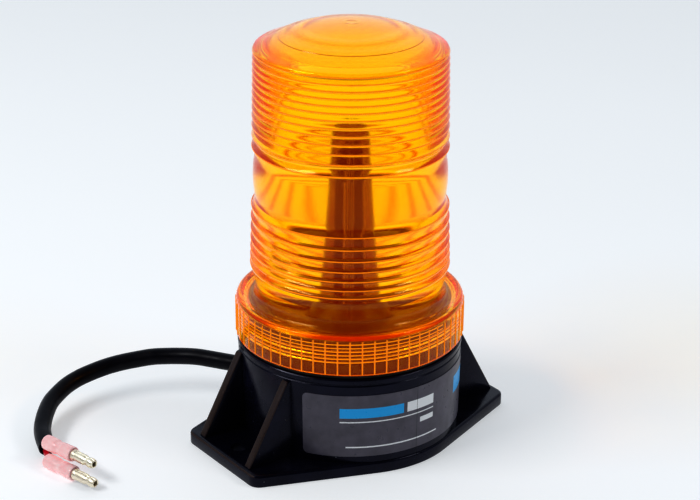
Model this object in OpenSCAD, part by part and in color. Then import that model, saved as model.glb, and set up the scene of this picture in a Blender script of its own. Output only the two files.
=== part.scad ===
// Screw-lens strobe beacon: fluted amber Fresnel lens on a two-ear flanged base,
// with a xenon flash tube, its drive electronics and a short two-core lead.
// Millimetres. Origin: centre of the flange's underside. +Z up, ears along X.

/* [Flange and mounting] */
// Half length of the flange, centre to ear end
ear_x = 63; // [60:0.5:66]
// Half width of the flange at the ear ends
ear_y = 25.5; // [23:0.5:27]
// Corner radius of the ears
ear_r = 5; // [4:0.5:6]
// Flange thickness
flange_t = 5; // [4:0.5:6]
// Distance between the two bolt holes
bolt_spacing = 108; // [106:0.5:110]
// Bolt hole radius
bolt_r = 3.3; // [2.6:0.1:3.5]

/* [Housing] */
// Outer radius of the round body near its top
body_r = 45; // [44.5:0.1:45.5]
// Draft of the body wall, top radius less bottom radius
body_draft = 0.6; // [0.2:0.1:1]
// Height of the body's top shoulder
shoulder_z = 41.2; // [41:0.1:41.4]
// Body wall thickness
wall_t = 2.8; // [2.4:0.1:3]
// Thickness of the floor inside the body
floor_t = 3; // [2.5:0.5:3.5]
// Gusset plate thickness
gusset_t = 3.5; // [3:0.1:4]
// Inner face of each gusset from the middle plane
gusset_y = 14.4; // [14:0.1:15]
// Height of the gussets at the body
gusset_top = 37.6; // [35:0.1:38]

/* [Screw thread] */
// Thread pitch
pitch = 3; // [3:0.1:3.2]
// Turns of thread on the neck
neck_turns = 3; // [2.5:0.5:3]
// Outer radius of the neck below the thread
neck_r = 41.4; // [41.2:0.1:41.5]
// Bore radius of the lens collar
collar_bore = 43; // [42.9:0.1:43.1]

/* [Lens] */
// Outer radius of the fluted collar, without its ridges
collar_r = 45.6; // [45.3:0.1:45.8]
// Number of grip ridges round the collar
ridges = 60; // [48:6:72]
// Height of the lens top
lens_top = 170.3; // [168:0.1:172]
// Lens wall thickness behind the ribs
lens_wall = 2.2; // [2:0.1:2.4]
// Rib crest radius just above the clear band
crest_r = 38.5; // [38.3:0.1:38.7]
// Depth of the deepest prism ribs, next to the clear band
rib_depth = 0.9; // [0.6:0.1:1.1]
// Height of the middle of the clear band
band_z = 109.3; // [109:0.1:109.6]

/* [Flash tube] */
// Outer radius of the flash tube glass
glass_r = 2.4; // [2.2:0.1:2.5]
// Half distance between the two legs of the tube
leg_x = 4.5; // [4.2:0.1:4.6]
// Height of the top of the tube guard
guard_top = 120; // [119:0.5:124]

/* [Lead] */
// Outer diameter of the cable jacket
cable_d = 7; // [6.5:0.1:7.5]

/* [Hidden] */
$fn = 96;

// ---- derived sizes -------------------------------------------------------
body_bottom_r = body_r - body_draft;
body_inner_r = body_bottom_r - wall_t;
body_top_z = 38;
function body_r_at(z) = body_bottom_r + body_draft * (z - flange_t) / (body_top_z - flange_t);
label_low = 7.8;
label_high = 34.3;
label_t = 0.2;
gusset_foot_x = ear_x - 2;
gusset_root_x = 39.2;
neck_top = 56;
neck_bore = 38.8;
ledge_bore = 34.8;
ledge_z = 50;
ledge_t = 3.5;
ledge_foot_z = 37;
edge_h = 0.8;
edge_inset = 0.7;
thread_h = 1.2;
thread_base = 0.75;
thread_crest = 0.42;
thread_sink = 0.5;
thread_flare = 0.14;
thread_start = 45.4;
thread_steps = 40;
collar_bottom = 43.1;
collar_inner_top = 56.8;
gasket_t = 1.7;
gasket_gap = 0.1;
deck_t = 1.6;
deck_top = ledge_z + deck_t;
deck_screw_r = 36.6;
deck_screw_az = [60, 180, 300];
board_z = 10;
board_t = 1.6;
board_top = board_z + board_t;
board_r = 37;
post_r = 31;
post_az = [90, 200, 310];
sink_x = 22;
sink_y = 4;
socket_top = 67;
tube_bottom = socket_top - 4;
contact_z = ledge_z - 4;
guard_foot = socket_top - 3;
guard_h = guard_top - guard_foot;
tube_bend_z = 107;
wire_loops = [72, 79, 86, 93];
exit_az = 124;
exit_z = 18;
exit_face_r = 48.96;
lead_r = 0.8;
lead_gap = 0.3;

// ---- the flange outline --------------------------------------------------
// Outer tangent between the body circle and the corner circle of an ear.
// An inset shrinks both circles alike, so the tangent's angle stays the same.
flange_lip = 0.1;
ear_centre = [ear_x - ear_r, ear_y - ear_r];
tangent_az = atan2(ear_centre[1], ear_centre[0])
    + acos((body_r + flange_lip - ear_r) / norm(ear_centre));
function polar(r, a) = [r * cos(a), r * sin(a)];

module flange_outline(inset = 0) {
    big = body_r + flange_lip - inset;
    small = ear_r - inset;
    on_ear = ear_centre + polar(small, tangent_az);
    on_body = polar(big, tangent_az);
    side_y = ear_centre[1];
    circle(r = big);
    for (sx = [-1, 1], sy = [-1, 1])
        translate([sx * ear_centre[0], sy * side_y]) circle(r = small);
    polygon([
        on_ear, on_body, [-on_body[0], on_body[1]], [-on_ear[0], on_ear[1]],
        [-ear_x + inset, side_y], [-ear_x + inset, -side_y],
        -on_ear, -on_body, [on_body[0], -on_body[1]], [on_ear[0], -on_ear[1]],
        [ear_x - inset, -side_y], [ear_x - inset, side_y]
    ]);
}

// The flange as a ring, so that the housing's own thinner floor shows inside it.
module flange_ring(inset = 0) {
    difference() {
        flange_outline(inset);
        circle(r = body_inner_r + wall_t / 2);
    }
}

// ---- helical thread ridge ------------------------------------------------
// One ridge swept round the axis: `inner` and `outer` are the radii of its two
// faces, `half_in` and `half_out` the half widths there.
module helix_ridge(inner, outer, half_in, half_out, z0, turns) {
    rings = round(turns * thread_steps);
    points = [for (k = [0:rings])
        let (a = 360 * k / thread_steps, z = z0 + pitch * k / thread_steps)
        for (q = [[inner, -half_in], [outer, -half_out], [outer, half_out], [inner, half_in]])
            [q[0] * cos(a), q[0] * sin(a), z + q[1]]];
    sides = [for (k = [0:rings - 1], j = [0:3])
        [4 * k + j, 4 * k + (j + 1) % 4, 4 * (k + 1) + (j + 1) % 4, 4 * (k + 1) + j]];
    polyhedron(points = points,
               faces = concat([[3, 2, 1, 0]], sides,
                              [[for (j = [0:3]) 4 * rings + j]]),
               convexity = 10);
}

// ---- lens outline --------------------------------------------------------
// Rib pitch shrinks away from the clear band, as on a drum Fresnel lens.
ribs_up = 13;
ribs_down = 7;
band_to_rib = 12.1;
first_up_z = band_z + band_to_rib;
first_down_z = band_z - band_to_rib;
pitch_far = 2.6;
pitch_near_extra = 2;
pitch_decay = 3;
down_pitch = 5;
down_pitch_step = 0.36;
band_half = 8.4;
band_arc_r = 35;
lower_rib_run = 2.2;
lower_rib_ledge = 1.1;
upper_rib_ledge = 0.9;
upper_rib_run = 1.2;
cap_dome_r = 76;
cap_r = 27.8;
cap_step = 0.15;
shoulder_top_z = lens_top - 9;

function up_gap(k) = pitch_far + pitch_near_extra * exp(-(k - 1) / pitch_decay);
function up_z(k) = k == 0 ? first_up_z : up_z(k - 1) + up_gap(k);
function up_depth(k) = rib_depth * up_gap(max(k, 1)) / up_gap(1);
function down_z(k) = first_down_z - down_pitch * k + down_pitch_step * k * (k - 1) / 2;
function up_r(z) = crest_r - 0.02 * (z - first_up_z);
function down_r(z) = crest_r + 0.45 + 0.03 * (first_down_z - z);
function cap_z(r) = lens_top - cap_dome_r + sqrt(pow(cap_dome_r, 2) - r * r)
    - (r > cap_r ? cap_step : 0);

collar_outline = [
    [collar_r, collar_bottom], [collar_r, 57], [45.1, 58.6], [44, 59.4], [42.6, 59.3],
    [41, 58.8], [39.4, 58.7], [38.2, 59.4], [37.5, 61], [37.3, 63], [37.9, 65.6], [38.8, 68]
];
lower_ribs = [for (k = [ribs_down - 1:-1:0]) let (z = down_z(k), r = down_r(z))
    each [[r - rib_depth, z - lower_rib_run], [r, z], [r - rib_depth, z + lower_rib_ledge]]];
band_outline = [for (a = [-12:4:12])
    [crest_r - 0.3 - band_arc_r * (1 - cos(a)), band_z + band_arc_r * sin(a) * band_half / 7.4]];
upper_ribs = [for (k = [0:ribs_up - 1]) let (z = up_z(k), r = up_r(z), depth = up_depth(k))
    each [[r - depth, z - upper_rib_ledge], [r, z], [r - 0.45 * depth, z + upper_rib_run]]];
top_outline = [[37, lens_top - 9.45], [36.1, shoulder_top_z], [34.5, cap_z(34.5)],
    [31.5, cap_z(31.5)], [cap_r + 0.1, cap_z(cap_r + 0.1)],
    for (r = [cap_r:-4.6:1]) [r, cap_z(r)], [0, lens_top]];
lens_inner = [
    [0, lens_top - lens_wall], for (r = [4:6:22]) [r, cap_z(r) - lens_wall],
    [27, cap_z(27) - lens_wall], [33.4, shoulder_top_z - lens_wall], [35, lens_top - 13.5],
    [35.6, 62], [36.4, 58.6], [38, 57.2], [40.5, collar_inner_top],
    [collar_bore, collar_inner_top], [collar_bore, collar_bottom]
];

// ---- cable route, exit to cut end ----------------------------------------
route = [
    [-27.4, 40.6, 18], [-31, 46, 18], [-34.5, 51.5, 18], [-38, 56.5, 18],
    [-42, 61.5, 17.5], [-46.5, 66, 17], [-51.5, 70, 16.5], [-57, 73.5, 15.5],
    [-63, 76.5, 14.5], [-69, 78.5, 13.5], [-75.5, 79.5, 12.5], [-82, 79.5, 11.5],
    [-88, 78, 10.5], [-93.5, 75.5, 9.5], [-99, 72, 8.5], [-103.5, 67.5, 7.5],
    [-107.5, 62.5, 6.5], [-111, 57, 5.5], [-113.5, 51, 5], [-115.5, 44.5, 4.5]
];
cable_sides = 10;
terminal_az = -77;
upper_start = [-116.8, 42.4, 8.5];
lower_start = [-119.3, 37.5, 3.1];
upper_core = [-115.6, 44.7, 5.9];
lower_core = [-116.2, 44.7, 3.2];
core_entry = [0.22, -0.97, 0];
sleeve_r = 3.05;
sleeve_len = 16;
pin_len = 12;
pin_r = 2.1;
core_r = 1.2;
core_bore = 1.3;

function unit(v) = v / norm(v);
function along(p, i) = unit(p[min(i + 1, len(p) - 1)] - p[max(i - 1, 0)]);
function across(t) = unit(cross([0, 0, 1], t));

// Round tube swept along a route that never runs straight up or down.
module swept_tube(p, r, n) {
    points = [for (i = [0:len(p) - 1])
        let (t = along(p, i), u = across(t), w = cross(t, u))
        for (j = [0:n - 1]) p[i] + r * (cos(360 * j / n) * u + sin(360 * j / n) * w)];
    last = (len(p) - 1) * n;
    sides = [for (i = [0:len(p) - 2], j = [0:n - 1])
        [i * n + j, (i + 1) * n + j, (i + 1) * n + (j + 1) % n, i * n + (j + 1) % n]];
    polyhedron(points = points,
               faces = concat([[for (j = [0:n - 1]) j]], sides,
                              [[for (j = [n - 1:-1:0]) last + j]]),
               convexity = 8);
}

// Round rod between two points.
module rod(a, b, r) {
    v = b - a;
    translate(a)
        rotate([0, acos(v[2] / norm(v)), atan2(v[1], v[0])])
            cylinder(r = r, h = norm(v), $fn = 24);
}

module at_angles(r, angles) {
    for (a = angles) rotate([0, 0, a]) translate([r, 0, 0]) children();
}

// ---- housing -------------------------------------------------------------
module gusset(sx, sy) {
    y0 = sy > 0 ? gusset_y : -gusset_y - gusset_t;
    translate([0, y0 + gusset_t, 0]) rotate([90, 0, 0])
        linear_extrude(height = gusset_t)
            polygon([
                [sx * gusset_root_x, flange_t - 1], [sx * gusset_foot_x, flange_t - 1],
                [sx * gusset_foot_x, flange_t], [sx * 42.4, gusset_top],
                [sx * gusset_root_x, gusset_top]
            ]);
}

module housing_shell() {
    rotate_extrude() polygon([
        [0, 0], [body_bottom_r, 0], [body_bottom_r, flange_t], [body_r, body_top_z],
        [body_r - 0.35, 38.3], [body_r - 0.35, 38.8], [body_r + 0.2, 39.1],
        [body_r + 0.2, 40.7], [body_r - 0.3, shoulder_z], [neck_r, shoulder_z],
        [neck_r, neck_top - 0.6], [neck_r - 0.6, neck_top], [neck_bore, neck_top],
        [neck_bore, ledge_z], [ledge_bore, ledge_z], [ledge_bore, ledge_z - ledge_t],
        [body_inner_r, ledge_foot_z], [body_inner_r, floor_t], [0, floor_t]
    ]);
}

module base_housing() {
    color([0.05, 0.05, 0.06]) difference() {
        union() {
            linear_extrude(height = flange_t - edge_h) flange_ring();
            translate([0, 0, flange_t - edge_h])
                linear_extrude(height = edge_h) flange_ring(edge_inset);
            housing_shell();
            for (sx = [-1, 1], sy = [-1, 1]) gusset(sx, sy);
            helix_ridge(neck_r - thread_sink, neck_r + thread_h, thread_base + thread_flare,
                        thread_crest, thread_start, neck_turns);
        }
        for (sx = [-1, 1])
            translate([sx * bolt_spacing / 2, 0, -1]) cylinder(r = bolt_r, h = flange_t + 2);
        rotate([0, 0, exit_az]) translate([body_inner_r - 3, 0, exit_z])
            rotate([0, 90, 0]) cylinder(r = 5.5, h = 10);
        at_angles(deck_screw_r, deck_screw_az)
            translate([0, 0, ledge_z - ledge_t - 1]) cylinder(r = 1.1, h = ledge_t + 2, $fn = 32);
    }
}

module lens_gasket() {
    color([0.03, 0.03, 0.03]) translate([0, 0, shoulder_z + gasket_gap])
        rotate_extrude() polygon([
            [neck_r + 1.3, 0], [body_r - 0.8, 0], [body_r - 0.6, 0.4],
            [body_r - 0.6, gasket_t - 0.4], [body_r - 0.8, gasket_t], [neck_r + 1.3, gasket_t]
        ]);
}

// ---- lens ----------------------------------------------------------------
module grip_ridges() {
    for (k = [0:ridges - 1]) rotate([0, 0, k * 360 / ridges])
        translate([0, 0, collar_bottom + 0.3]) linear_extrude(height = 14.2)
            polygon([[collar_r - 0.5, -0.55], [collar_r + 0.35, -0.12],
                     [collar_r + 0.35, 0.12], [collar_r - 0.5, 0.55]]);
}

module lens() {
    color([1, 0.55, 0.05, 0.75]) union() {
        rotate_extrude() polygon(concat(
            collar_outline, lower_ribs, band_outline, upper_ribs, top_outline, lens_inner));
        grip_ridges();
        helix_ridge(collar_bore - thread_h, collar_bore + thread_sink, thread_crest,
                    thread_base + thread_flare, thread_start + 0.5 * pitch, neck_turns - 0.5);
    }
}

// ---- label ---------------------------------------------------------------
module product_label() {
    low_r = body_r_at(label_low) + 0.02;
    high_r = body_r_at(label_high) + 0.02;
    color([0.16, 0.16, 0.17]) rotate([0, 0, 210]) rotate_extrude(angle = 120)
        polygon([[low_r, label_low], [low_r + label_t, label_low],
                 [high_r + label_t, label_high], [high_r, label_high]]);
}

// ---- deck, reflector and socket ------------------------------------------
module tube_deck() {
    color([0.12, 0.12, 0.13]) translate([0, 0, ledge_z]) difference() {
        cylinder(r = neck_bore - 0.3, h = deck_t);
        at_angles(deck_screw_r, deck_screw_az)
            translate([0, 0, -1]) cylinder(r = 1.4, h = deck_t + 2, $fn = 32);
        for (x = [-leg_x, 0, leg_x])
            translate([x, 0, -1]) cylinder(r = 1.6, h = deck_t + 2, $fn = 32);
    }
}

module deck_screws() {
    color([0.75, 0.75, 0.78]) at_angles(deck_screw_r, deck_screw_az) {
        translate([0, 0, ledge_z - ledge_t + 0.2]) cylinder(r = 1.05, h = ledge_t + deck_t, $fn = 32);
        difference() {
            translate([0, 0, deck_top]) cylinder(r = 2, h = 1.4, $fn = 32);
            for (a = [0, 90]) rotate([0, 0, a])
                translate([-1.2, -0.25, deck_top + 0.7]) cube([2.4, 0.5, 1]);
        }
    }
}

module reflector_plate() {
    color([0.8, 0.8, 0.8]) translate([0, 0, deck_top]) rotate_extrude() polygon([
        [17.4, 0], [32.6, 0], [33.6, 1.2], [33, 1.4], [32.2, 0.6], [17.4, 0.6]
    ]);
}

module tube_socket() {
    color([0.08, 0.06, 0.06]) difference() {
        translate([0, 0, deck_top]) rotate_extrude() polygon([
            [0, 0], [17.2, 0], [17, 2.4], [14.2, 10], [13, guard_foot - deck_top],
            [10.6, guard_foot - deck_top],
            [10.6, socket_top - deck_top - 0.8], [0, socket_top - deck_top - 0.8]
        ]);
        for (x = [-leg_x, leg_x])
            translate([x, 0, tube_bottom]) cylinder(r = glass_r + 0.05, h = 10, $fn = 48);
        for (x = [-leg_x, 0, leg_x])
            translate([x, 0, deck_top - 1]) cylinder(r = 1.05, h = 8, $fn = 32);
    }
}

module socket_contacts() {
    color([0.85, 0.7, 0.35]) for (x = [-leg_x, 0, leg_x])
        translate([x, 0, contact_z]) cylinder(r = 1, h = 10.5, $fn = 32);
}

module u_path(r) {
    for (x = [-leg_x, leg_x])
        translate([x, 0, tube_bottom]) cylinder(r = r, h = tube_bend_z - tube_bottom, $fn = 48);
    translate([0, 0, tube_bend_z]) rotate([90, 0, 0])
        rotate_extrude(angle = 180) translate([leg_x, 0]) circle(r = r, $fn = 48);
}

module flash_tube() {
    color([0.9, 0.95, 1, 0.4]) difference() {
        u_path(glass_r);
        difference() {
            u_path(glass_r - 0.7);
            translate([-20, -20, tube_bottom - 1]) cube([40, 40, 2]);
        }
    }
}

module tube_electrodes() {
    color([0.55, 0.55, 0.58]) for (x = [-leg_x, leg_x]) translate([x, 0, tube_bottom + 1.2]) {
        cylinder(r = 0.5, h = 9, $fn = 24);
        translate([0, 0, 8.5]) cylinder(r = x < 0 ? 1.3 : 0.9, h = 5, $fn = 24);
    }
}

module trigger_wire() {
    riser_r = 0.35;
    loop_wire_r = 0.3;
    link_r = 0.2;
    loop_r = glass_r + loop_wire_r + 0.1;
    color([0.8, 0.8, 0.82]) {
        translate([0, 0, socket_top - 0.8]) cylinder(r = riser_r, h = 30, $fn = 16);
        for (z = wire_loops) translate([0, 0, z]) {
            for (x = [-leg_x, leg_x]) translate([x, 0, 0]) rotate_extrude($fn = 32)
                translate([loop_r, 0]) circle(r = loop_wire_r, $fn = 16);
            translate([loop_r - leg_x, 0, 0]) rotate([0, 90, 0])
                cylinder(r = link_r, h = 2 * (leg_x - loop_r), $fn = 16);
        }
    }
}

module tube_guard() {
    color([0.9, 0.8, 0.7, 0.35]) translate([0, 0, guard_foot]) rotate_extrude() polygon([
        [10.7, 0], [12, 0], [12, 2], [11.4, 3.4], [10, 18], [8.5, 42], [8.3, guard_h - 4],
        [7.2, guard_h - 1.4], [4, guard_h - 0.1], [0, guard_h], [0, guard_h - 1.1],
        [3.6, guard_h - 1.3], [6.4, guard_h - 2.2], [7.3, guard_h - 4.4], [7.5, 42],
        [8.9, 18], [10.7, 3.2]
    ]);
}

// ---- circuit board and its parts -----------------------------------------
module circuit_board() {
    color([0.1, 0.35, 0.16]) translate([0, 0, board_z]) difference() {
        cylinder(r = board_r, h = board_t);
        at_angles(post_r, post_az) translate([0, 0, -1]) cylinder(r = 1.7, h = 4, $fn = 32);
    }
}

module board_spacers() {
    color([0.8, 0.65, 0.3]) at_angles(post_r, post_az) translate([0, 0, floor_t]) difference() {
        cylinder(r = 3, h = board_z - floor_t, $fn = 6);
        translate([0, 0, 1]) cylinder(r = 1.3, h = 20, $fn = 32);
    }
}

module board_screws() {
    color([0.75, 0.75, 0.78]) at_angles(post_r, post_az) {
        translate([0, 0, floor_t + 2]) cylinder(r = 1.25, h = board_top - floor_t - 2, $fn = 32);
        difference() {
            translate([0, 0, board_top]) cylinder(r = 2.7, h = 1.8, $fn = 32);
            for (a = [0, 90]) rotate([0, 0, a])
                translate([-1.6, -0.3, board_top + 0.9]) cube([3.2, 0.6, 1.2]);
        }
    }
}

module terminal_block() {
    color([0.15, 0.4, 0.6]) rotate([0, 0, exit_az]) translate([21, 0, board_top]) difference() {
        translate([0, -6, 0]) cube([8, 12, 10]);
        for (y = [-3, 3]) {
            translate([4, y, 5]) rotate([0, 90, 0]) cylinder(r = 1.6, h = 5, $fn = 32);
            translate([2.5, y, 8]) cylinder(r = 1.5, h = 3, $fn = 32);
        }
    }
}

module storage_capacitor() {
    color([0.1, 0.12, 0.3]) translate([-15, -13, board_top]) rotate_extrude() polygon([
        [0, 0], [8.6, 0], [9, 0.5], [9, 3], [8.4, 3.5], [9, 4], [9, 24.4], [8.4, 25], [0, 25]
    ]);
}

module capacitor_cap() {
    color([0.7, 0.7, 0.72]) translate([-15, -13, board_top + 25]) difference() {
        cylinder(r = 7.6, h = 0.4);
        for (a = [0, 60, 120]) rotate([0, 0, a])
            translate([-5, -0.2, 0.2]) cube([10, 0.4, 1]);
    }
}

module film_capacitor() {
    color([0.6, 0.15, 0.1]) translate([-31, 3, board_top]) cube([7, 16, 12]);
}

module converter_core() {
    color([0.2, 0.2, 0.2]) translate([15, -13, board_top]) difference() {
        translate([-10, -3, 0]) cube([20, 6, 17]);
        for (x = [-7.2, 2.6]) translate([x, -4, 3]) cube([4.6, 8, 11]);
    }
}

module converter_winding() {
    color([0.75, 0.45, 0.15]) translate([15, -13, board_top + 3.3]) difference() {
        cylinder(r = 6.8, h = 10.4);
        translate([-2.8, -3.2, -1]) cube([5.6, 6.4, 13]);
    }
}

module trigger_transformer() {
    color([0.85, 0.75, 0.2]) translate([8, 14, board_top]) {
        translate([-5, -4, 0]) cube([10, 8, 1.5]);
        translate([0, 0, 1.5]) cylinder(r = 3.6, h = 8);
        translate([-5, -4, 9.5]) cube([10, 8, 1.5]);
    }
}

module heat_sink() {
    color([0.7, 0.7, 0.72]) translate([sink_x, sink_y, board_top]) difference() {
        union() {
            cube([2, 18, 22]);
            for (y = [0:4:16]) translate([2, y, 0]) cube([5, 1.4, 22]);
        }
        translate([-1, 9, 15]) rotate([0, 90, 0]) cylinder(r = 1.6, h = 4, $fn = 32);
    }
}

module power_transistor() {
    color([0.1, 0.1, 0.1]) translate([sink_x - 4.6, sink_y + 4, board_top + 3]) difference() {
        union() {
            translate([1.5, 0, 0]) cube([3, 10, 9.2]);
            translate([3.3, 0, 9]) cube([1.2, 10, 6]);
            for (y = [2.2, 4.7, 7.2]) translate([2, y, -3]) cube([0.6, 0.8, 3.2]);
        }
        translate([0, 5, 12]) rotate([0, 90, 0]) cylinder(r = 1.8, h = 8, $fn = 32);
    }
}

module heat_sink_screw() {
    color([0.75, 0.75, 0.78]) translate([sink_x, sink_y + 9, board_top + 15])
        rotate([0, 90, 0]) {
            translate([0, 0, -2.8]) cylinder(r = 2.6, h = 1.4, $fn = 32);
            translate([0, 0, -1.5]) cylinder(r = 1.5, h = 3.4, $fn = 32);
        }
}

module axial_part(x, y, a, r, body_len) {
    translate([x, y, board_top + r + 0.4]) rotate([0, 0, a]) rotate([0, 90, 0]) {
        translate([0, 0, -body_len / 2]) cylinder(r = r, h = body_len, $fn = 32);
        translate([0, 0, -body_len / 2 - 2]) cylinder(r = 0.35, h = body_len + 4, $fn = 16);
    }
    for (s = [-1, 1])
        translate([x + s * (body_len / 2 + 1.6) * cos(a), y + s * (body_len / 2 + 1.6) * sin(a),
                   board_top])
            cylinder(r = 0.45, h = r + 0.4, $fn = 16);
}

module rectifier_diodes() {
    color([0.12, 0.12, 0.12]) {
        axial_part(-2, -28, 0, 1.4, 5);
        axial_part(12, -28, 0, 1.4, 5);
    }
}

module resistors() {
    color([0.8, 0.7, 0.5]) {
        axial_part(-8, 4, 90, 1.2, 6);
        axial_part(-2, 4, 90, 1.2, 6);
        axial_part(28, -10, 90, 1.8, 9);
    }
}

// ---- internal wiring -----------------------------------------------------
module tube_leads() {
    color([0.9, 0.9, 0.9]) {
        rod([-leg_x, 0, contact_z - lead_gap], [-leg_x, -6, board_top + lead_gap], lead_r);
        rod([0, 0, contact_z - lead_gap], [4, 6, board_top + lead_gap], lead_r);
        rod([leg_x, 0, contact_z - lead_gap], [leg_x + 3, -1, board_top + lead_gap], lead_r);
    }
}

module supply_leads() {
    color([0.6, 0.05, 0.05]) rotate([0, 0, exit_az]) for (s = [-1, 1])
        rod([38.6, s * 1.6, exit_z], [25.4, s * 3, board_top + 5], lead_r);
}

// ---- lead and its bullet terminals ---------------------------------------
module cable_grommet() {
    color([0.04, 0.04, 0.04]) rotate([0, 0, exit_az]) translate([0, 0, exit_z]) rotate([0, 90, 0])
        rotate_extrude() polygon([
            [0, 38.8], [7, 38.8], [7, 40.6], [5.45, 40.6], [5.45, 45.2], [7.4, 45.2],
            [7.2, 46.4], [5.2, 47], [4.4, exit_face_r], [0, exit_face_r]
        ]);
}

module cable() {
    color([0.05, 0.05, 0.06]) swept_tube(route, cable_d / 2, cable_sides);
}

module core_wires() {
    color([0.7, 0.05, 0.1]) {
        rod(upper_core, upper_start + core_entry, core_r);
        rod(lower_core, lower_start + core_entry, core_r);
    }
}

module terminal_place(start) {
    translate(start) rotate([0, 0, terminal_az]) rotate([0, 90, 0]) children();
}

module bullet_sleeve() {
    rotate_extrude() polygon([
        [core_bore, 0], [sleeve_r - 0.4, 0], [sleeve_r, 0.6], [sleeve_r, 7], [sleeve_r - 0.3, 8.5],
        [sleeve_r - 0.1, sleeve_len - 0.5], [sleeve_r - 0.4, sleeve_len], [1.9, sleeve_len],
        [1.9, sleeve_len - 7], [core_bore, sleeve_len - 7.6]
    ]);
}

module bullet_pin() {
    translate([0, 0, sleeve_len]) rotate_extrude() polygon([
        [0, -6.8], [1.85, -6.8], [1.85, 0.1], [pin_r + 0.15, 0.1], [pin_r + 0.15, 1.4],
        [pin_r, 1.8], [pin_r, 7], [1.75, 9], [1.85, 10.4], [1.6, pin_len],
        [0.9, pin_len], [0.9, pin_len - 4], [0, pin_len - 4]
    ]);
}

module upper_bullet_sleeve() {
    color([0.95, 0.55, 0.6]) terminal_place(upper_start) bullet_sleeve();
}

module lower_bullet_sleeve() {
    color([0.95, 0.55, 0.6]) terminal_place(lower_start) bullet_sleeve();
}

module upper_bullet_pin() {
    color([0.9, 0.85, 0.65]) terminal_place(upper_start) bullet_pin();
}

module lower_bullet_pin() {
    color([0.9, 0.85, 0.65]) terminal_place(lower_start) bullet_pin();
}

base_housing();
lens();
lens_gasket();
product_label();
tube_deck();
deck_screws();
reflector_plate();
tube_socket();
socket_contacts();
flash_tube();
tube_electrodes();
trigger_wire();
tube_guard();
circuit_board();
board_spacers();
board_screws();
terminal_block();
storage_capacitor();
capacitor_cap();
film_capacitor();
converter_core();
converter_winding();
trigger_transformer();
power_transistor();
heat_sink();
heat_sink_screw();
rectifier_diodes();
resistors();
tube_leads();
supply_leads();
cable_grommet();
cable();
core_wires();
upper_bullet_sleeve();
lower_bullet_sleeve();
upper_bullet_pin();
lower_bullet_pin();
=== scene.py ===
import math

import bpy
from mathutils import Matrix, Quaternion, Vector


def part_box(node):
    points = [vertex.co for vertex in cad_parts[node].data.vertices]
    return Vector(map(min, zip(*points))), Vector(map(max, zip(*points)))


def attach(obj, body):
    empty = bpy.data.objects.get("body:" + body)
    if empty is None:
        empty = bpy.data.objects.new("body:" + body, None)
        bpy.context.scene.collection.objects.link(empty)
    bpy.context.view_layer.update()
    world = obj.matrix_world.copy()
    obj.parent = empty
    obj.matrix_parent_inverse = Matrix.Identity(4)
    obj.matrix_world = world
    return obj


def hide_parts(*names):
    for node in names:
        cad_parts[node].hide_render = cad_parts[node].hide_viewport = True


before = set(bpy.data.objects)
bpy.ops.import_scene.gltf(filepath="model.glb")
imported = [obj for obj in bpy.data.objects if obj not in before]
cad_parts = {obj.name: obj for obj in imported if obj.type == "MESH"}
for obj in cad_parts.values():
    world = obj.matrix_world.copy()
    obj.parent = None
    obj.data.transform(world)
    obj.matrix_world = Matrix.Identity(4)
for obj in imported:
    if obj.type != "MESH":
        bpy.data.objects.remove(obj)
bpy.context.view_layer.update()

# Strobe beacon. Outlines below are in millimetres and become metres in make_mesh().
# Z is the lens axis, the bolt ears lie along X, and the label faces -Y.
MM = 0.001


def box_mm(node):
    """Lowest and highest corner of a CAD node, in millimetres."""
    low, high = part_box(node)
    return low / MM, high / MM


# ---- camera ------------------------------------------------------------------
LOOK_AT = Vector((0, 0, 0.0765))
CAMERA_AZIMUTH = -36.3
CAMERA_ELEVATION = 22.58
CAMERA_DISTANCE = 0.7737
CAMERA_ROLL = 0.325
LENS_MM = 100.15


def make_camera():
    a, e = math.radians(CAMERA_AZIMUTH), math.radians(CAMERA_ELEVATION)
    back = Vector((math.sin(a) * math.cos(e), -math.cos(a) * math.cos(e), math.sin(e)))
    data = bpy.data.cameras.new("camera")
    data.lens = LENS_MM
    data.sensor_width = 36
    data.clip_start, data.clip_end = 0.01, 50
    camera = bpy.data.objects.new("camera", data)
    bpy.context.scene.collection.objects.link(camera)
    camera.location = LOOK_AT + back * CAMERA_DISTANCE
    roll = Quaternion((0, 0, 1), math.radians(CAMERA_ROLL))
    camera.rotation_mode = "QUATERNION"
    camera.rotation_quaternion = (-back).to_track_quat("-Z", "Y") @ roll
    bpy.context.scene.camera = camera


# ---- mesh building -----------------------------------------------------------
SHARP = math.radians(38)


def make_mesh(name, points, faces, sharp=SHARP):
    """A mesh object from points in millimetres, shaded smooth but for its sharp edges."""
    mesh = bpy.data.meshes.new(name)
    mesh.from_pydata([Vector(p) * MM for p in points], [], faces)
    mesh.validate()
    mesh.shade_smooth()
    mesh.set_sharp_from_angle(angle=sharp)
    obj = bpy.data.objects.new(name, mesh)
    bpy.context.scene.collection.objects.link(obj)
    return obj


def even_angles(count):
    return [2 * math.pi * k / count for k in range(count)]


def lathe(name, outline, angles, shift=None, sharp=SHARP):
    """Turns a closed outline of (r, z) about Z. Points with r 0 become one pole each.
    shift(angle, r, z) gives the radius of an outline point at an angle."""
    points, rings = [], []
    for r, z in outline:
        if r < 1e-6:
            rings.append([len(points)] * len(angles))
            points.append((0, 0, z))
            continue
        ring = []
        for a in angles:
            radius = shift(a, r, z) if shift else r
            ring.append(len(points))
            points.append((radius * math.cos(a), radius * math.sin(a), z))
        rings.append(ring)
    faces = []
    for i, low in enumerate(rings):
        high = rings[(i + 1) % len(rings)]
        for k in range(len(angles)):
            n = (k + 1) % len(angles)
            corners = list(dict.fromkeys((low[k], low[n], high[n], high[k])))
            if len(corners) > 2:
                faces.append(corners)
    return make_mesh(name, points, faces, sharp)


NEARLY_STRAIGHT = math.radians(172)


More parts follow.
